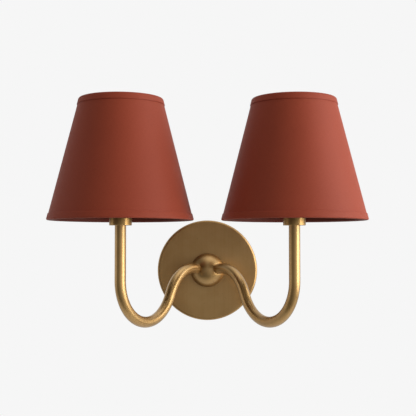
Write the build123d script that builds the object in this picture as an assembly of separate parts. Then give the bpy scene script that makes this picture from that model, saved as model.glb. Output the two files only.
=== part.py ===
from build123d import *
import math
import os

# Double arm wall sconce. Millimetres and degrees.
# X to the right, Y into the wall, Z up. The wall's surface is the plane Y = 0 and the backplate's
# centre is the origin. The two arms and their shades are alike, mirrored about X = 0.

# Backplate: a round pan with its open side on the wall
plate_diameter = 127.0
plate_depth = 20.0
plate_wall = 1.5
plate_edge_radius = 3.0
wire_hole_diameter = 13.0

# Hub: a cast half ball on the backplate, hollow at the back, bored for both arms
hub_radius = 21.5
hub_cavity_radius = 11.0
hub_cavity_depth = 13.5
hub_screw_margin = 3.0
arm_seat_flare = 0.9

# Arms: bent tubes, each in its own upright plane
tube_diameter = 12.7
tube_wall = 1.0
arm_yaw = 56.3
arm_apex_depth = 16.5
arm_rise = 5.0
arm_slope = 62.0
arm_bend_radius = 49.0
arm_inset = 15.0
arm_lead = 30.8
arm_middle = 9.3
arm_post = 61.6

# Screws
screw_diameter = 4.0
screw_head_diameter = 7.0
screw_head_height = 2.4
screw_slot_width = 1.0
screw_slot_depth = 1.2
hub_screw_grip = 7.0
side_screw_depth = 8.0
side_screw_length = 7.5

# Wall bracket: a strip with slots for the screws of a round junction box
bracket_width = 18.0
bracket_thickness = 2.0
bracket_tab_height = 13.0
slot_spacing = 79.4
slot_length = 14.0
slot_width = 4.6
earth_screw_offset = 24.0
earth_washer_rim = 0.8
earth_washer_thickness = 0.8

# Terminal block on the bracket
block_width = 22.0
block_height = 28.0
block_depth = 9.0
block_pocket_depth = 3.6
block_pocket_width = 18.0
block_pocket_height = 10.0
block_screw_diameter = 3.0
block_entry_diameter = 3.6

# Leads: two insulated wires in each arm
lead_diameter = 2.1
lead_gap = 0.1

# Bush, lock nut and cup at the top of each arm
bush_seat_length = 14.0
bush_wall = 0.6
thread_step = 0.45
lock_nut_flats = 14.0
lock_nut_height = 3.0
cup_diameter = 25.4
cup_height = 24.0
cup_wall = 0.9
cup_floor = 1.2
cup_edge_radius = 0.7

# Lampholder
holder_thread_length = 8.0
holder_pocket_height = 12.0
holder_pocket_wall = 3.0
holder_web = 5.0
holder_collar_diameter = 34.0
holder_collar_height = 2.0
holder_skirt_diameter = 26.8
holder_skirt_height = 23.4
shell_bore_diameter = 12.0
shell_wall = 0.5
shell_height = 18.0
contact_width = 3.6
contact_thickness = 0.4
contact_rise = 2.4
contact_rivet_radius = 1.4

# Shade ring nut
ring_nut_diameter = 35.0
ring_nut_height = 7.0
ring_nut_flutes = 24
ring_nut_flute_radius = 1.3

# Shade: hardback cone on a wire frame
cup_shown = 5.7
shade_bottom_radius = 81.4
shade_top_radius = 46.6
shade_height = 136.5
fabric_thickness = 0.5
backing_thickness = 0.7
tape_width = 7.5
tape_thickness = 0.8
tape_roll = 1.2
wire_diameter = 2.5
washer_diameter = 41.0
washer_thickness = 1.2
spoke_count = 3
spoke_foot = 4.5

# Candle bulb
bulb_cap_wall = 0.3
bulb_cap_length = 16.5
bulb_base_taper = 0.9
bulb_neck_inset = 0.2
bulb_belly_radius = 17.5
bulb_belly_height = 34.0
bulb_length = 80.0
bulb_wall = 0.8
stem_radius = 1.6
filament_count = 4
filament_radius = 0.75
filament_length = 38.0
filament_circle_radius = 5.0

# Clearances
fixed_fit = 0.02
running_fit = 0.05
face_gap = 0.1
loose_gap = 0.3

# Derived sizes
plate_radius = plate_diameter / 2
tube_radius = tube_diameter / 2
tube_bore_radius = tube_radius - tube_wall
screw_radius = screw_diameter / 2
screw_head_radius = screw_head_diameter / 2
wire_radius = wire_diameter / 2
lead_radius = lead_diameter / 2
yaw = math.radians(arm_yaw)
rise = math.radians(arm_rise)
slope = math.radians(arm_slope)
hub_screw_radius = hub_cavity_radius + screw_radius + hub_screw_margin
plate_bore_radius = plate_radius - plate_wall
tab_face = math.sqrt(plate_bore_radius**2 - (bracket_width / 2) ** 2) - loose_gap
block_screw_offset = block_height / 2 - block_screw_diameter

# Plan distance from the apex to each arm's post, and the height at which the cup sits
arm_reach = (
    arm_lead * math.cos(rise)
    + arm_bend_radius * (math.sin(rise) + math.sin(slope))
    + arm_middle * math.cos(slope)
    + arm_bend_radius * (1 + math.sin(slope))
)
arm_lowest = (
    arm_lead * math.sin(rise)
    - arm_bend_radius * (math.cos(rise) - math.cos(slope))
    - arm_middle * math.sin(slope)
    - arm_bend_radius * (1 - math.cos(slope))
)
post_x = arm_reach * math.cos(yaw)
post_y = -(arm_apex_depth + arm_reach * math.sin(yaw))
cup_z = arm_lowest + arm_bend_radius + arm_post

# Heights above the cup's underside
lock_nut_base = cup_floor + face_gap
holder_base = lock_nut_base + lock_nut_height + face_gap
thread_radius = tube_bore_radius - thread_step
bush_bore_radius = thread_radius - bush_wall
bush_top = holder_base + holder_thread_length
pocket_top = bush_top + holder_pocket_height
collar_base = max(cup_height + loose_gap, pocket_top)
collar_top = collar_base + holder_collar_height
socket_floor = pocket_top + holder_web
skirt_radius = holder_skirt_diameter / 2
skirt_top = collar_top + holder_skirt_height
shell_bore_radius = shell_bore_diameter / 2
shell_radius = shell_bore_radius + shell_wall
washer_base = collar_top + face_gap
washer_top = washer_base + washer_thickness
washer_radius = washer_diameter / 2
ring_nut_base = washer_top + face_gap
ring_nut_radius = ring_nut_diameter / 2
contact_top = socket_floor + contact_thickness + contact_rise
eyelet_base = contact_top + face_gap
cap_base = eyelet_base + bulb_base_taper
cap_radius = shell_bore_radius - running_fit
cap_top = cap_base + bulb_cap_length
shade_base = cup_shown
shade_top = shade_base + shade_height
edge_margin = tape_thickness
shell_depth = fabric_thickness + fixed_fit + backing_thickness
wire_depth = shell_depth + running_fit + wire_radius  # from the fabric's face to a ring wire's centre
wire_setback = tape_thickness + wire_radius

os.makedirs("parts", exist_ok=True)

sides = {"left": -1, "right": 1}
on_wall = Rot(90, 0, 0)  # local Z is then the distance out from the wall, local Y is up


def write(name, piece):
    piece.label = name
    export_step(piece, f"parts/{name}.step")


def turned(*outline):
    """Solid of revolution about Z from corners given as (radius, height)."""
    return revolve(Plane.XZ * make_face(Polyline(*outline, close=True)), Axis.Z)


def tube(outer, inner, base, top):
    return turned((inner, base), (outer, base), (outer, top), (inner, top))


def rod(radius, base, top):
    return Pos(0, 0, base) * Cylinder(radius, top - base, align=(Align.CENTER, Align.CENTER, Align.MIN))


def wire(path, radius):
    """Round bar, or a tube's inside, along a path."""
    return sweep(Plane(path @ 0, z_dir=path % 0) * Circle(radius), path)


def slotted_screw(shank_length):
    """Screw with its head's underside at Z = 0, head up and shank down."""
    screw = rod(screw_radius, -shank_length, 0) + rod(screw_head_radius, 0, screw_head_height)
    screw = fillet(screw.edges().group_by(Axis.Z)[-1], screw_head_height / 4)
    slot = Box(2 * screw_head_diameter, screw_slot_width, 2 * screw_slot_depth)
    return screw - Pos(0, 0, screw_head_height) * slot


# Backplate and hub

def backplate_pan():
    pan = rod(plate_radius, 0, plate_depth)
    pan = fillet(pan.edges().group_by(Axis.Z)[-1], plate_edge_radius)
    hollow = rod(plate_radius - plate_wall, -plate_wall, plate_depth - plate_wall)
    inner_radius = max(plate_edge_radius - plate_wall, plate_wall / 2)
    pan -= fillet(hollow.edges().group_by(Axis.Z)[-1], inner_radius)
    pan -= rod(wire_hole_diameter / 2, 0, 2 * plate_depth)
    for up in (-1, 1):
        pan -= Pos(0, up * hub_screw_radius, 0) * rod(screw_radius + loose_gap, 0, 2 * plate_depth)
        side_hole = Rot(-90 * up, 0, 0) * rod(screw_radius + loose_gap, 0, plate_diameter)
        pan -= Pos(0, 0, side_screw_depth) * side_hole
    return on_wall * pan


def arm_direction(side):
    level = math.cos(rise)
    return Vector(side * math.cos(yaw) * level, -math.sin(yaw) * level, math.sin(rise))


def along_arm(side, start, length, radius):
    """Cylinder on the arm's first straight, start and length counted from the apex."""
    origin = Vector(0, -arm_apex_depth, 0) + arm_direction(side) * start
    return extrude(Plane(origin, z_dir=arm_direction(side)) * Circle(radius), length)


def hub_dome():
    dome = Pos(0, 0, plate_depth) * (Sphere(hub_radius) & rod(2 * hub_radius, 0, hub_radius))
    cavity = rod(hub_cavity_radius, -plate_depth, hub_cavity_depth)
    dome -= Pos(0, 0, plate_depth) * fillet(cavity.edges().group_by(Axis.Z)[-1], hub_cavity_radius / 4)
    for up in (-1, 1):
        tapped = rod(screw_radius + fixed_fit, 0, plate_depth + hub_screw_grip + loose_gap)
        dome -= Pos(0, up * hub_screw_radius, 0) * tapped
    dome = on_wall * dome
    flare_start = (plate_depth - arm_apex_depth) + hub_radius - arm_seat_flare - loose_gap
    for side in sides.values():
        dome -= along_arm(side, arm_inset - face_gap, 2 * hub_radius, tube_radius + fixed_fit)
        dome -= along_arm(side, flare_start, hub_radius, tube_radius + arm_seat_flare)
    return dome


def hub_screws():
    screw = slotted_screw(plate_wall + hub_screw_grip)
    heads_in = Pos(0, 0, plate_depth - plate_wall) * Rot(180, 0, 0)
    pair = [heads_in * Pos(0, up * hub_screw_radius, 0) * screw for up in (-1, 1)]
    return on_wall * Compound(pair)


# Wall bracket

def wall_bracket():
    outline = (Align.CENTER, Align.CENTER, Align.MIN)
    bracket = Box(bracket_width, 2 * tab_face, bracket_thickness, align=outline)
    for up in (-1, 1):
        tab = Box(bracket_width, bracket_thickness, bracket_tab_height, align=outline)
        bracket += Pos(0, up * (tab_face - bracket_thickness / 2), 0) * tab
        slot = extrude(Rot(0, 0, 90) * SlotOverall(slot_length, slot_width), bracket_thickness)
        bracket -= Pos(0, up * slot_spacing / 2, 0) * slot
        tapped = Rot(-90 * up, 0, 0) * rod(screw_radius + fixed_fit, 0, plate_radius)
        bracket -= Pos(0, 0, side_screw_depth) * tapped
        block_hole = rod(block_screw_diameter / 2 + fixed_fit, 0, bracket_thickness)
        bracket -= Pos(0, up * block_screw_offset, 0) * block_hole
    earth_hole = rod(screw_radius + fixed_fit, 0, bracket_thickness)
    return on_wall * (bracket - Pos(0, -earth_screw_offset, 0) * earth_hole)


def side_screws():
    """Headless screws through the pan's edge, their outer ends flush with it."""
    screw = rod(screw_radius, 0, side_screw_length)
    screw -= Pos(0, 0, side_screw_length) * Box(screw_diameter, screw_slot_width, 2 * screw_slot_depth)
    start = plate_radius - side_screw_length - loose_gap
    pair = [Pos(0, 0, side_screw_depth) * Rot(-90 * up, 0, 0) * Pos(0, 0, start) * screw for up in (-1, 1)]
    return on_wall * Compound(pair)


def earth_screw():
    seat = bracket_thickness + earth_washer_thickness
    return on_wall * Pos(0, -earth_screw_offset, seat) * slotted_screw(seat)


def earth_washer():
    base = bracket_thickness
    top = base + earth_washer_thickness
    washer = tube(screw_head_radius + earth_washer_rim, screw_radius + loose_gap, base, top)
    return on_wall * Pos(0, -earth_screw_offset, 0) * washer


def terminal_block():
    outline = (Align.CENTER, Align.CENTER, Align.MIN)
    block = Box(block_width, block_height, block_depth, align=outline)
    block = fillet(block.edges().filter_by(Axis.Z), block_screw_diameter / 3)
    pocket = Box(block_pocket_width, block_pocket_height, 2 * block_pocket_depth)
    block -= Pos(0, 0, block_depth) * pocket
    for up in (-1, 1):
        hole = rod(block_screw_diameter / 2 + loose_gap, 0, block_depth)
        block -= Pos(0, up * block_screw_offset, 0) * hole
        entry = Rot(0, 90, 0) * rod(block_entry_diameter / 2, -block_width, block_width)
        block -= Pos(0, up * block_pocket_height / 4, block_depth - block_pocket_depth) * entry
    return on_wall * Pos(0, 0, bracket_thickness) * block


def block_screws():
    shank = rod(block_screw_diameter / 2, -block_depth - bracket_thickness, 0)
    head = rod(block_screw_diameter, 0, block_screw_diameter * 0.6)
    slot = Box(3 * block_screw_diameter, screw_slot_width, screw_slot_depth)
    screw = shank + head - Pos(0, 0, block_screw_diameter * 0.6) * slot
    seat = bracket_thickness + block_depth
    pair = [Pos(0, up * block_screw_offset, seat) * screw for up in (-1, 1)]
    return on_wall * Compound(pair)


# Arms

def arm_plane(side, shift=0.0):
    """Upright plane of an arm, local X outwards from the apex and local Y up."""
    along = Vector(side * math.cos(yaw), -math.sin(yaw), 0)
    normal = along.cross(Vector(0, 0, 1))
    return Plane(Vector(0, -arm_apex_depth, 0) + normal * shift, x_dir=along, z_dir=normal)


def arm_path(side, start, post, offset=0.0, shift=0.0):
    """Centre line of an arm from start on its first straight, offset upwards in its plane."""
    heading = Vector(math.cos(rise), math.sin(rise))
    above = Vector(-math.sin(rise), math.cos(rise)) * offset
    lead = Line(heading * start + above, heading * arm_lead + above)
    crest = JernArc(lead @ 1, lead % 1, arm_bend_radius + offset, -(arm_rise + arm_slope))
    middle = Line(crest @ 1, crest @ 1 + (crest % 1) * arm_middle)
    bend = JernArc(middle @ 1, middle % 1, arm_bend_radius - offset, arm_slope + 90)
    upright = Line(bend @ 1, bend @ 1 + Vector(0, post))
    return arm_plane(side, shift) * Wire([lead, crest, middle, bend, upright])


def arm_tube(side):
    path = arm_path(side, arm_inset, arm_post - face_gap)
    arm = wire(path, tube_radius) - wire(path, tube_bore_radius)
    section = math.pi * (tube_radius**2 - tube_bore_radius**2)
    print(f"arm tube: length {path.length:.1f}, volume {arm.volume / (section * path.length):.4f} of section by length")
    return arm


def arm_leads(side):
    block_face = bracket_thickness + block_depth
    inside_block = arm_apex_depth - block_face + block_pocket_depth - lead_radius - loose_gap
    start = -inside_block / (math.sin(yaw) * math.cos(rise))
    pair = []
    for shift in (-1, 1):
        path = arm_path(
            side,
            start,
            arm_post + bush_top + holder_pocket_height / 2,
            side * (lead_radius + lead_gap * 4),
            shift * (lead_radius + lead_gap / 2),
        )
        pair.append(wire(path, lead_radius))
    return Compound(pair)


# What stands on an arm. Each piece is drawn about the post's axis, with the cup's underside at Z = 0.

def bush():
    foot = tube_bore_radius - fixed_fit
    return turned(
        (bush_bore_radius, -bush_seat_length),
        (foot, -bush_seat_length),
        (foot, -face_gap),
        (thread_radius, -face_gap),
        (thread_radius, bush_top),
        (bush_bore_radius, bush_top),
    )


def cup():
    radius = cup_diameter / 2
    body = rod(radius, 0, cup_height)
    body = fillet(body.edges().group_by(Axis.Z)[0], cup_edge_radius)
    body -= rod(radius - cup_wall, cup_floor, cup_height)
    return body - rod(thread_radius + fixed_fit, 0, cup_floor)


def lock_nut():
    nut = extrude(RegularPolygon(lock_nut_flats / 2, 6, major_radius=False), lock_nut_height)
    return Pos(0, 0, lock_nut_base) * nut - rod(thread_radius + fixed_fit, 0, holder_base)


def holder_body():
    base_radius = cup_diameter / 2 - cup_wall - loose_gap
    collar_radius = holder_collar_diameter / 2
    body = turned(
        (0, holder_base),
        (base_radius, holder_base),
        (base_radius, collar_base),
        (collar_radius, collar_base),
        (collar_radius, collar_top),
        (skirt_radius, collar_top),
        (skirt_radius, skirt_top),
        (0, skirt_top),
    )
    body -= rod(thread_radius + fixed_fit, holder_base, bush_top)
    body -= rod(base_radius - holder_pocket_wall, bush_top, pocket_top)
    body -= rod(contact_rivet_radius + fixed_fit, pocket_top, socket_floor)
    return body - rod(shell_radius + fixed_fit, socket_floor, skirt_top)


def holder_shell():
    """Brass screw shell with its turned-in foot on the socket's floor."""
    base = socket_floor + fixed_fit
    lip = shell_bore_radius - shell_wall
    return turned(
        (lip, base),
        (shell_radius, base),
        (shell_radius, base + shell_height),
        (shell_bore_radius, base + shell_height),
        (shell_bore_radius, base + shell_wall),
        (lip, base + shell_wall),
    )


def holder_contact():
    """Centre contact: a rivet through the floor and a sprung tongue above it."""
    reach = contact_width
    base = socket_floor + fixed_fit
    top = base + contact_thickness
    tongue = make_face(
        Polyline(
            (-reach, base),
            (reach, base),
            (reach, top),
            (-reach + 2 * contact_thickness, top),
            (contact_width / 2, contact_top - contact_thickness),
            (contact_width / 2, contact_top),
            (-contact_width / 2, contact_top),
            (-reach, top),
            close=True,
        )
    )
    strip = extrude(Plane.XZ * tongue, contact_width / 2, both=True)
    tail = contact_rivet_radius
    return strip + rod(tail, pocket_top - tail, base) + rod(1.6 * tail, pocket_top - tail, pocket_top - fixed_fit)


def ring_nut():
    nut = tube(ring_nut_radius, skirt_radius + running_fit, ring_nut_base, ring_nut_base + ring_nut_height)
    flute = rod(ring_nut_flute_radius, ring_nut_base, ring_nut_base + ring_nut_height)
    for at in PolarLocations(ring_nut_radius + ring_nut_flute_radius / 2, ring_nut_flutes):
        nut -= at * flute
    return nut


# Shade

def cone_radius(height):
    """Outer radius of the shade's fabric at a height above the cup's underside."""
    share = (height - shade_base) / shade_height
    return shade_bottom_radius + (shade_top_radius - shade_bottom_radius) * share


def cone_shell(outside, inside, margin):
    """Conical sheet between two depths below the fabric's outer face."""
    low = shade_base + margin
    high = shade_top - margin
    return turned(
        (cone_radius(low) - outside, low),
        (cone_radius(low) - inside, low),
        (cone_radius(high) - inside, high),
        (cone_radius(high) - outside, high),
    )


def ring_wire(height):
    return Pos(0, 0, height) * Torus(cone_radius(height) - wire_depth, wire_radius)


def trim_tape(edge, inwards):
    """Tape rolled over the rim at height edge; inwards is +1 for the lower rim and -1 for the upper."""
    far = edge + inwards * tape_width
    near = edge + inwards * tape_roll
    shell_end = edge + inwards * (edge_margin - loose_gap / 2)
    wire_height = edge + inwards * wire_setback
    outside = tape_thickness
    inside = shell_depth + loose_gap
    rolled = wire_depth + wire_radius + tape_thickness
    section = make_face(
        Polyline(
            (cone_radius(far) + fixed_fit, far),
            (cone_radius(far) + outside, far),
            (cone_radius(near) + outside, near),
            (cone_radius(edge) - fixed_fit, edge),
            (cone_radius(edge) - rolled + tape_roll, edge),
            (cone_radius(near) - rolled, near),
            (cone_radius(wire_height) - rolled, wire_height),
            (cone_radius(far) - inside - outside, far),
            (cone_radius(far) - inside, far),
            (cone_radius(shell_end) - inside, shell_end),
            (cone_radius(shell_end) + fixed_fit, shell_end),
            close=True,
        )
    )
    wire_seat = Pos(cone_radius(wire_height) - wire_depth, wire_height) * Circle(wire_radius + fixed_fit)
    return revolve(Plane.XZ * (section - wire_seat), Axis.Z)


def spokes(radius):
    """Bars from the washer's edge up to the top ring wire."""
    ring_height = shade_top - wire_setback
    level = (washer_base + washer_top) / 2
    path = FilletPolyline(
        (washer_radius - wire_radius, 0, level),
        (washer_radius + spoke_foot, 0, level),
        (cone_radius(ring_height) - wire_depth, 0, ring_height),
        radius=spoke_foot,
    )
    bar = wire(path, radius)
    return [Rot(0, 0, 90 + turn * 360 / spoke_count) * bar for turn in range(spoke_count)]


def shade_frame():
    """Washer, spokes and top ring wire, welded into one piece."""
    washer = tube(washer_radius, skirt_radius + running_fit, washer_base, washer_top)
    return washer + ring_wire(shade_top - wire_setback) + spokes(wire_radius)


def shade_top_tape():
    """The upper tape is slit where the spokes reach the ring wire."""
    return trim_tape(shade_top, -1) - spokes(wire_radius + loose_gap)


# Candle bulb

def bulb_cap():
    inner = cap_radius - bulb_cap_wall
    return turned(
        (cap_radius - bulb_base_taper - bulb_cap_wall, cap_base),
        (cap_radius - bulb_base_taper, cap_base),
        (cap_radius, cap_base + bulb_base_taper),
        (cap_radius, cap_top),
        (inner, cap_top),
        (inner, cap_base + bulb_base_taper),
    )


def bulb_contact():
    """Glass insulator and solder button in the cap's end."""
    rim = cap_radius - bulb_base_taper - bulb_cap_wall - fixed_fit
    return turned(
        (0, eyelet_base),
        (rim / 2, eyelet_base),
        (rim / 2, eyelet_base + bulb_base_taper / 2),
        (rim, cap_base),
        (rim, cap_base + bulb_base_taper),
        (0, cap_base + bulb_base_taper),
    )


def bulb_profile(thickness):
    """Half section of the candle glass, drawn inside its outer face by thickness."""
    neck = cap_radius - bulb_cap_wall - bulb_neck_inset - thickness
    base = cap_base + bulb_cap_length / 2
    belly = cap_top + bulb_belly_height
    tip = cap_top + bulb_length - thickness
    side = Line((neck, base), (neck, cap_top))
    outline = Spline(
        side @ 1,
        (bulb_belly_radius - thickness, belly),
        (0, tip),
        tangents=[(0, 1), (-1, 0.25)],
        tangent_scalars=[1.2, 0.5],
    )
    return make_face([side, outline, Line((0, tip), (0, base)), Line((0, base), (neck, base))])


def bulb_glass():
    outer = revolve(Plane.XZ * bulb_profile(0), Axis.Z)
    return outer - revolve(Plane.XZ * bulb_profile(bulb_wall), Axis.Z)


def bulb_stem():
    """Glass stem sealed in the neck, with a thin rod up the middle."""
    neck = cap_radius - bulb_cap_wall - bulb_neck_inset - bulb_wall - fixed_fit
    base = cap_base + bulb_cap_length / 2
    shoulder = cap_top + stem_radius
    rod_top = shoulder + bulb_belly_height / 4
    return turned(
        (0, base),
        (neck, base),
        (stem_radius, shoulder),
        (stem_radius, rod_top),
        (0, rod_top),
    )


def bulb_filaments():
    """Upright filament sticks held between two small wire stars."""
    low = cap_top + stem_radius + bulb_belly_height / 4 + filament_radius
    high = low + filament_length
    cage = rod(filament_radius, low - filament_radius, low + filament_radius)
    cage += rod(filament_radius, high - filament_radius, high + filament_radius)
    for at in PolarLocations(filament_circle_radius, filament_count):
        cage += at * rod(filament_radius, low - filament_radius, high + filament_radius)
        for level in (low, high):
            spoke = Plane((0, 0, level), z_dir=at.position) * Circle(filament_radius / 2)
            cage += extrude(spoke, filament_circle_radius)
    return cage


# Pieces

write("backplate_pan", backplate_pan())
write("hub_dome", hub_dome())
write("hub_screws", hub_screws())
write("wall_bracket", wall_bracket())
write("side_screws", side_screws())
write("earth_screw", earth_screw())
write("earth_washer", earth_washer())
write("terminal_block", terminal_block())
write("block_screws", block_screws())

standing = {
    "bush": bush(),
    "cup": cup(),
    "lock_nut": lock_nut(),
    "holder_body": holder_body(),
    "holder_shell": holder_shell(),
    "holder_contact": holder_contact(),
    "ring_nut": ring_nut(),
    "shade_fabric": cone_shell(0, fabric_thickness, edge_margin),
    "shade_backing": cone_shell(fabric_thickness + fixed_fit, shell_depth, edge_margin),
    "shade_frame": shade_frame(),
    "shade_bottom_wire": ring_wire(shade_base + wire_setback),
    "shade_top_tape": shade_top_tape(),
    "shade_bottom_tape": trim_tape(shade_base, 1),
    "bulb_cap": bulb_cap(),
    "bulb_contact": bulb_contact(),
    "bulb_glass": bulb_glass(),
    "bulb_stem": bulb_stem(),
    "bulb_filaments": bulb_filaments(),
}

for side_name, side in sides.items():
    write(f"{side_name}_arm_tube", arm_tube(side))
    write(f"{side_name}_leads", arm_leads(side))
    for piece_name, piece in standing.items():
        write(f"{side_name}_{piece_name}", Pos(side * post_x, post_y, cup_z) * piece)
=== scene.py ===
import math
import bmesh
import bpy
from mathutils import Matrix, Vector


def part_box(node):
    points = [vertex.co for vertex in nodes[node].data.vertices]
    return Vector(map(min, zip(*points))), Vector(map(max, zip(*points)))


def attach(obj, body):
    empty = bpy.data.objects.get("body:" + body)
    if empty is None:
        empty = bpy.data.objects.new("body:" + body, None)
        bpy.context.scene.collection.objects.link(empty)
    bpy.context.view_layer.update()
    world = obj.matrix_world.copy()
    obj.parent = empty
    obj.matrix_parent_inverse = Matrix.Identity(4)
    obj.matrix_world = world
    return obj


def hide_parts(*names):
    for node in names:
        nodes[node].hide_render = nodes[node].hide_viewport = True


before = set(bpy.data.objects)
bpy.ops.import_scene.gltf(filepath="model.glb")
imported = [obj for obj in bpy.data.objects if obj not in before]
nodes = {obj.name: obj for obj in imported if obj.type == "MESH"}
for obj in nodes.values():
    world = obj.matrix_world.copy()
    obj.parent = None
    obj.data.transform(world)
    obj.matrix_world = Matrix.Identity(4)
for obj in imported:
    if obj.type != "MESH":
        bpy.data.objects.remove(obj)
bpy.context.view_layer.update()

sides = {"left": -1, "right": 1}
print("frame loaded:", len(nodes), "nodes")


# Camera, at the photograph's viewing angle

view = {
    "distance": 1.1378, "height": 0.02784, "tilt": 2.636, "lens": 75.74, "shift": 0.0013,
    "sensor": 36, "nearest": 0.01,
}

camera = bpy.data.objects.new("camera", bpy.data.cameras.new("camera"))
camera.data.lens = view["lens"]
camera.data.sensor_width = view["sensor"]
camera.data.shift_x = view["shift"]
camera.data.clip_start = view["nearest"]
camera.location = (0, -view["distance"], view["height"])
camera.rotation_euler = (math.radians(90 + view["tilt"]), 0, 0)
bpy.context.scene.collection.objects.link(camera)
bpy.context.scene.camera = camera
bpy.context.scene.view_settings.view_transform = "Standard"
print("camera placed")


# Node helpers

class Flow:
    # one output of a node, which can stand in a sum
    def __init__(self, finish, socket):
        self.finish, self.socket = finish, socket

    def calc(self, operation, first, second):
        return self.finish.node("ShaderNodeMath", {"operation": operation}, {0: first, 1: second})

    def __add__(self, other): return self.calc("ADD", self, other)
    def __radd__(self, other): return self.calc("ADD", other, self)
    def __sub__(self, other): return self.calc("SUBTRACT", self, other)
    def __rsub__(self, other): return self.calc("SUBTRACT", other, self)
    def __mul__(self, other): return self.calc("MULTIPLY", self, other)
    def __rmul__(self, other): return self.calc("MULTIPLY", other, self)


class Finish:
    # a node tree under construction, of a material or of the world
    def __init__(self, owner):
        owner.use_nodes = True
        self.owner, self.tree = owner, owner.node_tree
        self.tree.nodes.clear()

    def node(self, kind, settings=None, sockets=None, output=0):
        made = self.tree.nodes.new(kind)
        for key, value in (settings or {}).items():
            if key == "stops":
                ramp = made.color_ramp.elements
                while len(ramp) < len(value):
                    ramp.new(0.5)
                for element, (position, colour) in zip(ramp, value):
                    element.position = position
                    element.color = (*colour, 1) if isinstance(colour, tuple) else (colour, colour, colour, 1)
            else:
                setattr(made, key, value)
        for key, value in (sockets or {}).items():
            if isinstance(value, Flow):
                self.tree.links.new(value.socket, made.inputs[key])
            elif isinstance(value, tuple) and len(value) == 3 and made.inputs[key].type == "RGBA":
                made.inputs[key].default_value = (*value, 1)
            else:
                made.inputs[key].default_value = value
        return Flow(self, made.outputs[output] if made.outputs else None)

    def coords(self, scale=(1, 1, 1), source="Object"):
        point = self.node("ShaderNodeTexCoord", output=source)
        return self.node("ShaderNodeMapping", {}, {"Vector": point, "Scale": scale})

    def axis(self, vector, index=0):
        return self.node("ShaderNodeSeparateXYZ", {}, {0: vector}, index)

    def length(self, vector):
        return self.node("ShaderNodeVectorMath", {"operation": "LENGTH"}, {0: vector}, "Value")

    def noise(self, vector, scale=1.0, detail=2.0, rough=0.5, warp=0.0):
        return self.node("ShaderNodeTexNoise", {}, {
            "Vector": vector, "Scale": scale, "Detail": detail, "Roughness": rough, "Distortion": warp})

    def band(self, value, low, high, start=0.0, end=1.0):
        return self.node("ShaderNodeMapRange", {"interpolation_type": "SMOOTHSTEP"}, {
            "Value": value, "From Min": low, "From Max": high, "To Min": start, "To Max": end})

    def blend(self, *parts):
        # a sum of flows, each given with its share
        return sum(flow * share for flow, share in parts)

    def mix(self, mask, first, second):
        return self.node("ShaderNodeMix", {"data_type": "RGBA"}, {0: mask, 6: first, 7: second}, 2)

    def ramp(self, value, places, colours):
        return self.node("ShaderNodeValToRGB", {"stops": list(zip(places, colours))}, {0: value})

    def bump(self, height, strength, distance):
        return self.node("ShaderNodeBump", {}, {"Height": height, "Strength": strength, "Distance": distance})

    def surface(self, sockets):
        shader = self.node("ShaderNodeBsdfPrincipled", {}, sockets)
        self.node("ShaderNodeOutputMaterial", {}, {"Surface": shader})
        return self.owner


def newFinish(name):
    return Finish(bpy.data.materials.new(name))


# Aged brass: plate, dome, arms, cups and side screws

brassLook = {
    "tints": [(0.41, 0.225, 0.072), (0.50, 0.298, 0.112), (0.60, 0.38, 0.155)],  # from dark to light
    "tintPlaces": (0.30, 0.52, 0.78),
    "depth": {"arm": 1.0, "plate": 0.86, "dome": 0.90, "turned": 0.9},  # how dark each piece's brass is made, as a share of the arm's
    "blue": {"arm": 0.87, "plate": 1.0, "dome": 0.94, "turned": 0.84},  # less blue is a warmer brass
    "roughness": {"arm": 0.38, "plate": 0.42, "dome": 0.40, "turned": 0.30},
    "coat": {"arm": 0.80, "plate": 0.35, "dome": 0.5, "turned": 0.5}, "coatRoughness": 0.22,
    # brush lines to the metre on each axis, and along the radius on the dome
    "brush": {"arm": (2600, 7, 1), "plate": (1600, 300, 22), "turned": (30, 30, 1500), "dome": 1400.0},
    "clouds": 38.0, "drifts": 11.0,
    "specks": 420.0, "speckFrom": 0.68, "speckTo": 0.80, "speckTint": (0.12, 0.07, 0.03),
    "speckAmount": {"arm": 0.25, "plate": 1.0, "dome": 1.0, "turned": 1.0},
    "relief": 0.10, "reliefDepth": 0.00002,
    # painted highlight and wear: the plate is made lighter near its rim
    "rubbedFrom": 0.0590, "rubbedTo": 0.0625, "rubbed": 0.12,
    # painted contact shade with grime: the plate is made darker round the dome
    "grimeFrom": 0.0205, "grimeTo": 0.0285, "grime": 0.12, "grimeTint": (0.105, 0.060, 0.022),
}


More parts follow.
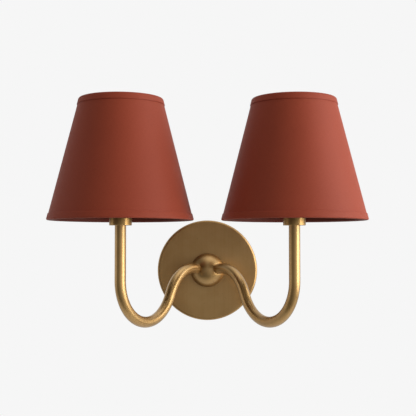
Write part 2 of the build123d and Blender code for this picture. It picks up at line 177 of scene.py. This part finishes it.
def agedBrass(name, grain):
    # satin brass gone brown with age, with fine brush lines that run as the piece was polished
    look = newFinish(name)
    point = look.coords()
    if grain == "dome":
        radius = look.length(look.coords((1, 0, 1)))
        lines = look.node("ShaderNodeCombineXYZ", {}, {0: radius * brassLook["brush"]["dome"]})
    else:
        lines = look.coords(brassLook["brush"][grain], source="UV" if grain == "arm" else "Object")
    streak = look.noise(lines, 1.0, 3.0, 0.6)
    broad = look.noise(lines, 0.22, 2.0, 0.5)
    cloud = look.noise(point, brassLook["clouds"], 4.0, 0.55, 0.4)
    drift = look.noise(point, brassLook["drifts"], 2.0, 0.5)
    spots = look.noise(point, brassLook["specks"], 2.0, 0.6)
    speck = look.band(spots, brassLook["speckFrom"], brassLook["speckTo"]) * brassLook["speckAmount"][grain]
    tone = look.blend((cloud, 0.42), (drift, 0.34), (streak, 0.10), (broad, 0.14))
    fade = [brassLook["depth"][grain] * part for part in (1, 1, brassLook["blue"][grain])]
    tints = [tuple(part * less for part, less in zip(tint, fade)) for tint in brassLook["tints"]]
    colour = look.ramp(tone, brassLook["tintPlaces"], tints)
    if grain == "plate":
        radius = look.length(look.coords((1, 0, 1)))
        # rubbed lighter round the rim: partly wear, partly a painted highlight on the rounded edge
        wornAndLit = look.band(radius, brassLook["rubbedFrom"], brassLook["rubbedTo"], 0.0, brassLook["rubbed"])
        colour = look.mix(wornAndLit, colour, brassLook["tints"][1])
        # painted contact shade, with brown grime, in the corner round the dome
        grime = look.band(radius, brassLook["grimeFrom"], brassLook["grimeTo"], brassLook["grime"], 0.0)
        colour = look.mix(grime, colour, brassLook["grimeTint"])
    colour = look.mix(speck * 0.4, colour, brassLook["speckTint"])
    rough = brassLook["roughness"][grain] + (streak - 0.5) * 0.04 + (cloud - 0.5) * 0.08 + speck * 0.10
    sockets = {
        "Base Color": colour, "Metallic": 1.0, "Roughness": rough,
        "Coat Weight": brassLook["coat"][grain], "Coat Roughness": brassLook["coatRoughness"],
    }
    if grain != "arm":
        height = look.blend((broad, 0.7), (cloud, 0.3))
        sockets["Normal"] = look.bump(height, brassLook["relief"], brassLook["reliefDepth"])
    return look.surface(sockets)


# Shade cloth and tape

clothLook = {
    "dyes": [(0.300, 0.0465, 0.0200), (0.362, 0.0595, 0.0258), (0.420, 0.0730, 0.0325)],  # from dark to light
    "dyePlaces": (0.28, 0.53, 0.82),
    "thread": 0.00042, "tapeThread": 0.8, "crossing": 0.25,
    "slubsAcross": (260, 2300, 1), "slubsDown": (2300, 240, 1), "dyePatches": 16.0, "fuzz": 5200.0,
    "relief": 0.35, "reliefDepth": 0.00012, "roughness": 0.60, "specular": 0.28,
    "sheen": 0.07, "sheenRoughness": 0.35, "sheenTint": (1.0, 0.42, 0.30),
}


def weave(look, flat, thread):
    # height of a plain weave: rows of threads that pass over and under each other in turn
    turns = [look.axis(flat, index) * (math.pi / thread) for index in range(2)]
    sines = [look.node("ShaderNodeMath", {"operation": "SINE"}, {0: turn}) for turn in turns]
    ridges = [look.node("ShaderNodeMath", {"operation": "ABSOLUTE"}, {0: sine}) for sine in sines]
    over = look.band(sines[0] * sines[1], -clothLook["crossing"], clothLook["crossing"])
    return ridges[0] * over + ridges[1] * (1 - over)


def shadeCloth(name, tape=False, depth=1.0):
    look = newFinish(name)
    thread = clothLook["thread"] * (clothLook["tapeThread"] if tape else 1.0)
    height = weave(look, look.coords(source="UV"), thread)
    slubAcross = look.noise(look.coords(clothLook["slubsAcross"], "UV"))
    slubDown = look.noise(look.coords(clothLook["slubsDown"], "UV"))
    patches, fine = clothLook["dyePatches"], clothLook["fuzz"]
    dye = look.noise(look.coords((patches, patches, 1), "UV"), 1.0, 3.0)
    fuzz = look.noise(look.coords((fine, fine, 1), "UV"), 1.0, 2.0, 0.6)
    tone = look.blend((slubAcross, 0.34), (slubDown, 0.30), (dye, 0.20), (height, 0.12), (fuzz, 0.08))
    # depth below 1 darkens every dye; the tape's inside fold uses it as painted shade
    dyes = [tuple(part * depth for part in shadeOfDye) for shadeOfDye in clothLook["dyes"]]
    relief = look.blend((height, 0.7), (slubAcross, 0.35), (slubDown, 0.35), (fuzz, 0.2))
    return look.surface({
        "Base Color": look.ramp(tone, clothLook["dyePlaces"], dyes),
        "Roughness": clothLook["roughness"] + (fuzz - 0.5) * 0.2,
        "Normal": look.bump(relief, clothLook["relief"], clothLook["reliefDepth"]),
        "Specular IOR Level": clothLook["specular"], "Sheen Weight": clothLook["sheen"],
        "Sheen Roughness": clothLook["sheenRoughness"], "Sheen Tint": clothLook["sheenTint"],
    })


# Matt card lining the lampshade, its terracotta darkened as painted shade for the inside

cardLook = {
    # the card's tints are darkened well below the cloth's dye: painted shade for the inside of the lampshade
    "tints": [(0.080, 0.021, 0.012), (0.120, 0.031, 0.018)], "tintPlaces": (0.3, 0.7),
    "fibres": (420, 420, 1900), "blots": 24.0, "roughness": 0.86, "relief": 0.3, "reliefDepth": 0.00008,
}


def backingCard(name):
    look = newFinish(name)
    fibre = look.noise(look.coords(cardLook["fibres"]), 1.0, 3.0, 0.6)
    blot = look.noise(look.coords(), cardLook["blots"], 3.0)
    tone = look.blend((fibre, 0.5), (blot, 0.5))
    return look.surface({
        "Base Color": look.ramp(tone, cardLook["tintPlaces"], cardLook["tints"]),
        "Roughness": cardLook["roughness"] + (fibre - 0.5) * 0.14,
        "Normal": look.bump(fibre, cardLook["relief"], cardLook["reliefDepth"]),
    })


# Painted wire of the shade's frame

wireLook = {
    "clean": (0.70, 0.68, 0.62), "dusty": (0.58, 0.55, 0.48), "dust": 60.0, "dustFrom": 0.45, "dustTo": 0.75,
    "peel": 1500.0, "roughness": 0.38, "relief": 0.25, "reliefDepth": 0.00008, "coat": 0.15,
}


def coatedWire(name):
    look = newFinish(name)
    peel = look.noise(look.coords(), wireLook["peel"])
    dust = look.noise(look.coords(), wireLook["dust"], 4.0, 0.6)
    dusted = look.band(dust, wireLook["dustFrom"], wireLook["dustTo"])
    return look.surface({
        "Base Color": look.mix(dusted, wireLook["clean"], wireLook["dusty"]),
        "Roughness": wireLook["roughness"] + (peel - 0.5) * 0.2,
        "Normal": look.bump(peel, wireLook["relief"], wireLook["reliefDepth"]), "Coat Weight": wireLook["coat"],
    })


# Rolled and plated metal: bracket, screws, nuts, bushes and bulb caps

metalLook = {
    "zincPlate": {"light": (0.62, 0.62, 0.60), "dark": (0.45, 0.46, 0.47), "grain": (60, 60, 900)},
    "plainBrass": {"light": (0.72, 0.52, 0.25), "dark": (0.55, 0.38, 0.17), "grain": (60, 60, 900)},
    "nickelCap": {"light": (0.66, 0.64, 0.58), "dark": (0.50, 0.48, 0.43), "grain": (30, 30, 1600)},
    "flakes": 420.0, "bloom": 90.0, "roughness": 0.30, "relief": 0.15, "reliefDepth": 0.00004,
}


def rolledMetal(name):
    look = newFinish(name)
    metal = metalLook[name]
    rolled = look.noise(look.coords(metal["grain"]), 1.0, 3.0, 0.6)
    flakes = look.node("ShaderNodeTexVoronoi", {"feature": "F1"}, {
        "Vector": look.coords(), "Scale": metalLook["flakes"]}, "Color")
    fleck = look.axis(flakes)
    bloom = look.noise(look.coords(), metalLook["bloom"], 3.0)
    tone = look.blend((rolled, 0.5), (fleck, 0.25), (bloom, 0.25))
    height = look.blend((rolled, 1.0), (fleck, 0.2))
    return look.surface({
        "Base Color": look.mix(tone, metal["dark"], metal["light"]), "Metallic": 1.0,
        "Roughness": metalLook["roughness"] + rolled * 0.14 + bloom * 0.08,
        "Normal": look.bump(height, metalLook["relief"], metalLook["reliefDepth"]),
    })


# Moulded plastics: lampholders, ring nuts, terminal block and lead sleeves

plasticLook = {
    "phenolic": {"dark": (0.020, 0.016, 0.013), "light": (0.045, 0.036, 0.030), "roughness": 0.36},
    "blockPlastic": {"dark": (0.60, 0.57, 0.50), "light": (0.72, 0.70, 0.64), "roughness": 0.45},
    "leadSleeve": {"dark": (0.012, 0.012, 0.013), "light": (0.030, 0.030, 0.032), "roughness": 0.5},
    "flow": (70, 70, 25), "pores": 1300.0, "tintFrom": 0.35, "tintTo": 0.68, "relief": 0.2, "reliefDepth": 0.00005,
}


def mouldedPlastic(name):
    look = newFinish(name)
    plastic = plasticLook[name]
    flow = look.noise(look.coords(plasticLook["flow"]), 1.0, 4.0, 0.5, 1.2)
    pores = look.noise(look.coords(), plasticLook["pores"], 2.0, 0.6)
    tone = look.band(look.blend((flow, 0.7), (pores, 0.3)), plasticLook["tintFrom"], plasticLook["tintTo"])
    return look.surface({
        "Base Color": look.mix(tone, plastic["dark"], plastic["light"]),
        "Roughness": plastic["roughness"] + (pores - 0.5) * 0.18,
        "Normal": look.bump(pores, plasticLook["relief"], plasticLook["reliefDepth"]),
    })


# Bulb: clear glass, dark glass round a solder button, and yellow filaments

bulbLook = {
    "glass": [(0.97, 0.98, 0.97), (0.99, 0.99, 0.985)], "index": 1.47, "smears": (60, 60, 14), "smearRoughness": 0.05,
    "ripples": 55.0, "rippleDepth": 0.0002,
    "darkGlass": [(0.018, 0.014, 0.022), (0.05, 0.04, 0.06)], "solder": (0.42, 0.42, 0.43),
    "buttonFrom": 0.0005, "buttonTo": 0.0006, "mottles": 800.0,
    "phosphor": [(0.80, 0.52, 0.10), (0.93, 0.74, 0.26)], "grains": 2600.0, "bands": 190.0,
}


def clearGlass(name):
    look = newFinish(name)
    smear = look.noise(look.coords(bulbLook["smears"]), 1.0, 3.0, 0.6, 0.8)
    ripple = look.noise(look.coords(), bulbLook["ripples"], 1.0, 0.4)
    return look.surface({
        "Base Color": look.mix(smear, *bulbLook["glass"]), "Transmission Weight": 1.0, "IOR": bulbLook["index"],
        "Roughness": look.band(smear, 0.45, 0.85, 0.0, bulbLook["smearRoughness"]),
        "Normal": look.bump(ripple, 0.05, bulbLook["rippleDepth"]),
    })


def sealedEnd(name):
    look = newFinish(name)
    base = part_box("left_bulb_contact")[0].z
    height = look.axis(look.coords(), 2)
    metal = look.band(height, base + bulbLook["buttonFrom"], base + bulbLook["buttonTo"], 1.0, 0.0)
    mottle = look.noise(look.coords(), bulbLook["mottles"], 3.0, 0.6)
    return look.surface({
        "Base Color": look.mix(metal, look.mix(mottle, *bulbLook["darkGlass"]), bulbLook["solder"]),
        "Metallic": metal, "Roughness": 0.22 + metal * 0.25 + mottle * 0.1,
        "Normal": look.bump(mottle, 0.2, 0.00006),
    })


def phosphorStick(name):
    look = newFinish(name)
    grain = look.noise(look.coords(), bulbLook["grains"], 2.0, 0.6)
    dots = look.node("ShaderNodeTexWave", {"wave_type": "BANDS", "bands_direction": "Z"}, {
        "Vector": look.coords(), "Scale": bulbLook["bands"], "Distortion": 0.3})
    tone = look.blend((look.axis(dots), 0.5), (grain, 0.5))
    return look.surface({
        "Base Color": look.mix(tone, *bulbLook["phosphor"]), "Roughness": 0.55 + grain * 0.2,
        "Normal": look.bump(grain, 0.3, 0.00005),
    })


finishes = {
    "backplate_pan": agedBrass("agedBrassPlate", "plate"),
    "hub_dome": agedBrass("agedBrassDome", "dome"),
    "side_screws": agedBrass("agedBrassTurned", "turned"),
    "arm": agedBrass("agedBrassArm", "arm"),
    "cover": shadeCloth("shadeCloth"),
    "tape": shadeCloth("shadeTape", tape=True),
    # the tape's inside fold gets a darker copy of its cloth: painted shade
    "tapeInside": shadeCloth("shadeTapeInside", tape=True, depth=0.42),
    "shade_backing": backingCard("shadeBacking"),
    "shade_frame": coatedWire("coatedWire"),
    "wall_bracket": rolledMetal("zincPlate"),
    "bush": rolledMetal("plainBrass"),
    "holder_body": mouldedPlastic("phenolic"),
    "terminal_block": mouldedPlastic("blockPlastic"),
    "leads": mouldedPlastic("leadSleeve"),
    "bulb_cap": rolledMetal("nickelCap"),
    "bulb_contact": sealedEnd("bulbInsulator"),
    "bulb_glass": clearGlass("bulbGlass"),
    "bulb_filaments": phosphorStick("filament"),
}
shared = {
    "cup": "side_screws", "shade_bottom_wire": "shade_frame", "hub_screws": "wall_bracket",
    "earth_screw": "wall_bracket", "earth_washer": "wall_bracket", "block_screws": "wall_bracket",
    "lock_nut": "wall_bracket", "holder_shell": "bush", "holder_contact": "bush", "ring_nut": "holder_body",
    "bulb_stem": "bulb_glass", "shade_fabric": "cover", "shade_top_tape": "tape", "shade_bottom_tape": "tape",
    "arm_tube": "arm",
}
for name, cadNode in nodes.items():
    kind = name.split("_", 1)[1] if name.split("_")[0] in sides else name
    for slot in cadNode.material_slots:
        slot.material = finishes[shared.get(kind, kind)]
print("finishes on", len(nodes), "nodes")


# Shape helpers

creaseAngle = 35  # edges bent by more than this many degrees stay sharp


def addPiece(name, bm, finish, body, replaced):
    mesh = bpy.data.meshes.new(name)
    bm.to_mesh(mesh)
    bm.free()
    mesh.polygons.foreach_set("use_smooth", [True] * len(mesh.polygons))
    mesh.set_sharp_from_angle(angle=math.radians(creaseAngle))
    mesh.materials.append(finish)
    piece = bpy.data.objects.new(name, mesh)
    bpy.context.scene.collection.objects.link(piece)
    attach(piece, body)
    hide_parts(replaced)
    return piece


def lathe(outline, steps):
    # spins a closed outline, given as (radius, height), about Z
    bm = bmesh.new()
    corners = [bm.verts.new((radius, 0, height)) for radius, height in outline]
    for first, second in zip(corners, corners[1:] + corners[:1]):
        bm.edges.new((first, second))
    bmesh.ops.spin(bm, geom=bm.verts[:] + bm.edges[:], cent=(0, 0, 0), axis=(0, 0, 1), dvec=(0, 0, 0),
                   angle=2 * math.pi, steps=steps, use_merge=True, use_duplicate=False)
    bmesh.ops.remove_doubles(bm, verts=bm.verts, dist=1e-6)
    bmesh.ops.recalc_face_normals(bm, faces=bm.faces)
    return bm


def ringEdges(bm, radius, height, reach=2e-5):
    # edges of the circle at that radius and height
    def onRing(vert):
        return abs(math.hypot(vert.co.x, vert.co.y) - radius) < reach and abs(vert.co.z - height) < reach
    return [edge for edge in bm.edges if all(onRing(vert) for vert in edge.verts)]


def roundEdges(bm, edges, offset, segments):
    bmesh.ops.bevel(bm, geom=edges, offset=offset, offset_type="OFFSET", segments=segments, profile=0.5,
                    affect="EDGES", clamp_overlap=True, material=-1)


def place(bm, offset):
    bmesh.ops.translate(bm, vec=offset, verts=bm.verts)


# Arms: each is swept as a ring along the bends of its centre line

arm = {
    "radius": 0.00635, "wall": 0.001, "yaw": 56.3, "rise": 5.0, "slope": 62.0, "bend": 0.049, "lead": 0.0308,
    "middle": 0.0093, "post": 0.0615, "inset": 0.015, "apexDepth": 0.0165, "around": 56, "step": 2.0,
    "leadSteps": 4, "middleSteps": 2, "postSteps": 8,
}


def armTube(side):
    bm = bmesh.new()
    along = bm.verts.layers.float.new("along")
    rise, bend = math.radians(arm["rise"]), arm["bend"]
    bmesh.ops.create_circle(bm, cap_ends=False, radius=arm["radius"], segments=arm["around"])
    turn = Matrix.Rotation(math.radians(90) - rise, 4, "Y")
    start = Vector((math.cos(rise), 0, math.sin(rise))) * arm["inset"]
    bmesh.ops.transform(bm, matrix=Matrix.Translation(start) @ turn, verts=bm.verts)
    ring, done = bm.edges[:], 0.0
    centre, heading = start.copy(), rise

    def step(move, length):
        nonlocal ring, done, centre
        made = bmesh.ops.extrude_edge_only(bm, edges=ring)["geom"]
        fresh = [item for item in made if isinstance(item, bmesh.types.BMVert)]
        bmesh.ops.transform(bm, matrix=move, verts=fresh)
        edges = [item for item in made if isinstance(item, bmesh.types.BMEdge)]
        ring = [edge for edge in edges if edge.verts[0] in fresh and edge.verts[1] in fresh]
        done += length
        centre = move @ centre
        for vert in fresh:
            vert[along] = done

    def straight(length, steps):
        forward = Vector((math.cos(heading), 0, math.sin(heading))) * (length / steps)
        for _ in range(steps):
            step(Matrix.Translation(forward), length / steps)

    def arc(degrees):
        nonlocal heading
        steps = round(abs(degrees) / arm["step"])
        part = math.radians(degrees) / steps
        sign = math.copysign(1, degrees)
        pivot = centre + Vector((-math.sin(heading), 0, math.cos(heading))) * bend * sign
        swing = Matrix.Translation(pivot) @ Matrix.Rotation(-part, 4, "Y") @ Matrix.Translation(-pivot)
        for _ in range(steps):
            step(swing, abs(part) * bend)
        heading += math.radians(degrees)

    straight(arm["lead"] - arm["inset"], arm["leadSteps"])
    arc(-(arm["rise"] + arm["slope"]))
    straight(arm["middle"], arm["middleSteps"])
    arc(arm["slope"] + 90)
    straight(arm["post"], arm["postSteps"])
    bmesh.ops.recalc_face_normals(bm, faces=bm.faces)

    # the way round the tube and the length along it go into the UV map, in metres
    uv = bm.loops.layers.uv.new("brush")
    bm.verts.ensure_lookup_table()
    count = arm["around"]
    girth = 2 * math.pi * arm["radius"]
    for face in bm.faces:
        turns = [(loop.vert.index % count) / count for loop in face.loops]
        wraps = max(turns) - min(turns) > 0.5
        for loop, share in zip(face.loops, turns):
            loop[uv].uv = ((share + 1 if wraps and share < 0.5 else share) * girth, loop.vert[along])
    bmesh.ops.solidify(bm, geom=bm.faces[:], thickness=arm["wall"])
    angle = math.radians(-arm["yaw"] if side > 0 else arm["yaw"] - 180)
    bmesh.ops.rotate(bm, cent=(0, 0, 0), matrix=Matrix.Rotation(angle, 3, "Z"), verts=bm.verts)
    place(bm, (0, -arm["apexDepth"], 0))
    return bm


for name, side in sides.items():
    addPiece(f"{name}Arm", armTube(side), finishes["arm"], "fixture", f"{name}_arm_tube")
print("arms swept")


# Shades: a cloth cover with a glued lap at the back, and a tape rolled over each rim

shade = {
    "bottomRadius": 0.0814, "topRadius": 0.0466, "height": 0.1365, "aboveCup": 0.0057, "cloth": 0.0005,
    "margin": 0.0008, "rows": 28, "steps": 168, "lapWidth": 0.009, "lapRise": 0.00035, "lapEdge": 0.0002,
}
tape = {
    "width": 0.0075, "thickness": 0.0007, "roll": 0.0012, "rows": 4, "lift": 0.00002,
    "rimStep": 0.0002, "rimLip": 0.0014, "inside": 0.0048, "hem": 0.0022, "gap": 0.0015,
    "rimRound": 0.0006, "rimSegments": 4, "edgeRound": 0.0003, "edgeSegments": 2,
    "lapWidth": 0.011, "lapRise": 0.0003, "lapEdge": 0.0002,
}
slantLength = math.hypot(shade["height"], shade["bottomRadius"] - shade["topRadius"])
coneSine = (shade["bottomRadius"] - shade["topRadius"]) / slantLength


def coneRadius(height):
    return shade["bottomRadius"] + (shade["topRadius"] - shade["bottomRadius"]) * height / shade["height"]


def unrollCone(bm):
    # the cloth's own flat pattern: the cone laid open, cut at the back, its grain upright at the front
    uv = bm.loops.layers.uv.new("cloth")
    for face in bm.faces:
        middle = face.calc_center_median()
        facing = math.atan2(middle.x, -middle.y)
        for loop in face.loops:
            point = loop.vert.co
            turn = math.atan2(point.x, -point.y)
            if turn - facing > math.pi:
                turn -= 2 * math.pi
            elif facing - turn > math.pi:
                turn += 2 * math.pi
            slant = math.hypot(point.x, point.y) / coneSine
            loop[uv].uv = (slant * math.sin(turn * coneSine), -slant * math.cos(turn * coneSine))


def isBehind(face, width):
    middle = face.calc_center_median()
    return middle.y > 0 and abs(middle.x) < width / 2


def pastCone(face):
    # how far outside the cone a face lies
    middle = face.calc_center_median()
    return math.hypot(middle.x, middle.y) - coneRadius(middle.z)


def raiseLap(bm, faces, piece):
    bmesh.ops.inset_region(bm, faces=faces, thickness=piece["lapEdge"], depth=piece["lapRise"], use_even_offset=True)


def clothCover():
    low, high = shade["margin"], shade["height"] - shade["margin"]
    levels = [low + (high - low) * row / shade["rows"] for row in range(shade["rows"] + 1)]
    outline = [(coneRadius(level), level) for level in levels]
    outline += [(coneRadius(level) - shade["cloth"], level) for level in reversed(levels)]
    bm = lathe(outline, shade["steps"])
    raiseLap(bm, [face for face in bm.faces if isBehind(face, shade["lapWidth"]) and face.normal.y > 0.5], shade)
    unrollCone(bm)
    return bm


def rolledTape(rim, inwards):
    far, near = rim + inwards * tape["width"], rim + inwards * tape["roll"]
    levels = [far + (near - far) * row / tape["rows"] for row in range(tape["rows"] + 1)]
    outerRim, innerRim = coneRadius(rim) - tape["rimStep"], coneRadius(rim) - tape["inside"] + tape["rimLip"]
    outline = [(coneRadius(far) + tape["lift"], far)]
    outline += [(coneRadius(level) + tape["thickness"], level) for level in levels]
    outline += [(outerRim, rim), (innerRim, rim)]
    outline += [(coneRadius(level) - tape["inside"], level) for level in reversed(levels[2:])]
    outline += [(coneRadius(far) - tape["hem"], far), (coneRadius(far) - tape["gap"], far)]
    outline += [(coneRadius(near) - tape["gap"], near), (coneRadius(near) + tape["lift"], near)]
    bm = lathe(outline, shade["steps"])
    rings = [(coneRadius(near) + tape["thickness"], near), (outerRim, rim), (innerRim, rim),
             (coneRadius(near) - tape["inside"], near)]
    rolled = [edge for radius, height in rings for edge in ringEdges(bm, radius, height)]
    roundEdges(bm, rolled, tape["rimRound"], tape["rimSegments"])
    roundEdges(bm, ringEdges(bm, coneRadius(far) + tape["thickness"], far), tape["edgeRound"], tape["edgeSegments"])
    outermost = tape["thickness"] * 0.7
    raiseLap(bm, [face for face in bm.faces if isBehind(face, tape["lapWidth"]) and pastCone(face) > outermost], tape)
    for face in bm.faces:
        # faces inside the rim take the darker tape finish, as painted shade
        face.material_index = pastCone(face) < -shade["cloth"]
    unrollCone(bm)
    return bm


for name, side in sides.items():
    low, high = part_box(f"{name}_cup")
    foot = Vector(((low.x + high.x) / 2, (low.y + high.y) / 2, low.z + shade["aboveCup"]))
    for title, bm, cadName, slot in (
        ("Cover", clothCover(), "shade_fabric", "shade_fabric"),
        ("BottomTape", rolledTape(0, 1), "shade_bottom_tape", "shade_tape"),
        ("TopTape", rolledTape(shade["height"], -1), "shade_top_tape", "shade_tape"),
    ):
        place(bm, foot)
        finish = finishes["cover" if title == "Cover" else "tape"]
        piece = addPiece(f"{name}{title}", bm, finish, f"{name}_shade", f"{name}_{cadName}")
        # the second finish is the tape's darker inside: painted shade
        if title != "Cover":
            piece.data.materials.append(finishes["tapeInside"])
print("shades made")


# Floor, world and lamps

stageLook = {
    "floorDrop": 1.3, "floorSize": 11.0, "floorFade": (2.6, 5.3),
    "floor": [(0.80, 0.80, 0.79), (0.82, 0.82, 0.81)], "floorRoughness": 0.85, "floorSpecular": 0.2,
    "floorNear": 0.56, "floorFar": 0.70, "floorFrom": 1.0, "floorTo": 5.2,
    "floorMirrored": 0.32, "mirroredFrom": -0.9, "mirroredTo": -0.5,
    "seen": 0.922, "behind": 0.80, "behindFrom": 0.05, "behindTo": 0.75, "fill": 0.18,
    # what metal sees in front of the object: from far left to far right, times from straight down to straight up
    "across": [(0.0, 0.50), (0.10, 0.22), (0.24, 0.22), (0.38, 0.38), (0.52, 0.54), (0.68, 0.85), (0.84, 1.15),
               (1.0, 0.80)],
    "upwards": [(0.0, 0.40), (0.20, 0.42), (0.36, 0.60), (0.5, 0.95), (0.68, 1.0), (0.80, 0.60), (0.94, 1.2),
                (1.0, 2.5)],
    "brightest": 4.0,  # a ramp's colours stop at 1, so both rows are stored as shares of this
}

floorMesh = bmesh.new()
bmesh.ops.create_grid(floorMesh, x_segments=4, y_segments=4, size=stageLook["floorSize"] / 2)
place(floorMesh, (0, 0, -stageLook["floorDrop"]))
floor = bpy.data.objects.new("floor", bpy.data.meshes.new("floor"))
floorMesh.to_mesh(floor.data)
floorMesh.free()
bpy.context.scene.collection.objects.link(floor)


def lightPaths(finish):
    return [finish.node("ShaderNodeLightPath", output=name)
            for name in ("Is Camera Ray", "Is Glossy Ray", "Is Transmission Ray")]


look = newFinish("floorPaint")
isCamera, isGlossy, isTransmission = lightPaths(look)
spot = look.coords((1, 1, 0))
away = look.length(spot)
rear = look.band(look.axis(spot, 1), stageLook["mirroredFrom"], stageLook["mirroredTo"])
pale = look.band(away, *(stageLook[key] for key in ("floorFrom", "floorTo", "floorNear", "floorFar")))
paint = look.node("ShaderNodeBsdfPrincipled", {}, {
    "Base Color": look.mix(look.noise(look.coords(), 3.0, 3.0), *stageLook["floor"]),
    "Roughness": stageLook["floorRoughness"], "Specular IOR Level": stageLook["floorSpecular"],
    "Emission Color": (1.0, 1.0, 1.0),
    "Emission Strength": (isCamera + isTransmission) * pale + isGlossy * stageLook["floorMirrored"],
})
unseen = isGlossy * (1 - rear)  # metal sees the dark room through the front half of the floor
faded = unseen.calc("MAXIMUM", unseen, look.band(away, *stageLook["floorFade"]))  # so no rim shows from any side
hole = look.node("ShaderNodeBsdfTransparent")
ground = look.node("ShaderNodeMixShader", {}, {0: faded, 1: paint, 2: hole})
look.node("ShaderNodeOutputMaterial", {}, {"Surface": ground})
look.owner.cycles.emission_sampling = "NONE"
floor.data.materials.append(look.owner)

world = bpy.data.worlds.new("studio")
bpy.context.scene.world = world
sky = Finish(world)
isCamera, isGlossy, isTransmission = lightPaths(sky)
toward = sky.node("ShaderNodeTexCoord", output="Generated")
across, ahead, upwards = (sky.axis(toward, index) for index in range(3))
room = stageLook["brightest"] ** 2
for key, direction in (("across", across), ("upwards", upwards)):
    places, levels = zip(*stageLook[key])
    row = sky.ramp(direction * 0.5 + 0.5, places, [level / stageLook["brightest"] for level in levels])
    room = sky.axis(row) * room
behind = sky.band(ahead, stageLook["behindFrom"], stageLook["behindTo"])  # pale behind the object, darker in front
mirrored = room * (1 - behind) + behind * stageLook["behind"]
isDiffuse = 1 - (isCamera + isGlossy + isTransmission)
strength = isCamera * stageLook["seen"] + (isGlossy + isTransmission) * mirrored + isDiffuse * stageLook["fill"]
background = sky.node("ShaderNodeBackground", {}, {"Color": (1.0, 1.0, 1.0), "Strength": strength})
sky.node("ShaderNodeOutputWorld", {}, {"Surface": background})

lampPlan = {
    # name: azimuth right of the camera, elevation, distance, width, height, brightness
    "keyPanel": (78, 8, 1.7, 1.4, 1.8, 3.0),
    "keyCore": (60, 10, 1.7, 0.40, 1.3, 4.4),
    "topPanel": (0, 62, 1.6, 1.6, 1.1, 0.7),
    "edgePanel": (-86, 8, 1.6, 0.35, 1.3, 1.0),
    "rearPanel": (180, 14, 1.8, 1.3, 1.2, 0.75),
}
unmirrored = ("topPanel", "rearPanel")
aim = Vector((0, -0.12, 0.05))
for name, (azimuth, elevation, distance, width, height, brightness) in lampPlan.items():
    lamp = bpy.data.lights.new(name, "AREA")
    lamp.shape = "RECTANGLE"
    lamp.size, lamp.size_y = width, height
    lamp.energy = brightness * math.pi * width * height
    turn, lift = math.radians(azimuth), math.radians(elevation)
    offset = Vector((math.sin(turn) * math.cos(lift), -math.cos(turn) * math.cos(lift), math.sin(lift))) * distance
    holder = bpy.data.objects.new(name, lamp)
    holder.location = aim + offset
    holder.rotation_euler = offset.to_track_quat("Z", "Y").to_euler()
    holder.visible_glossy = name not in unmirrored
    bpy.context.scene.collection.objects.link(holder)
print("stage lit")
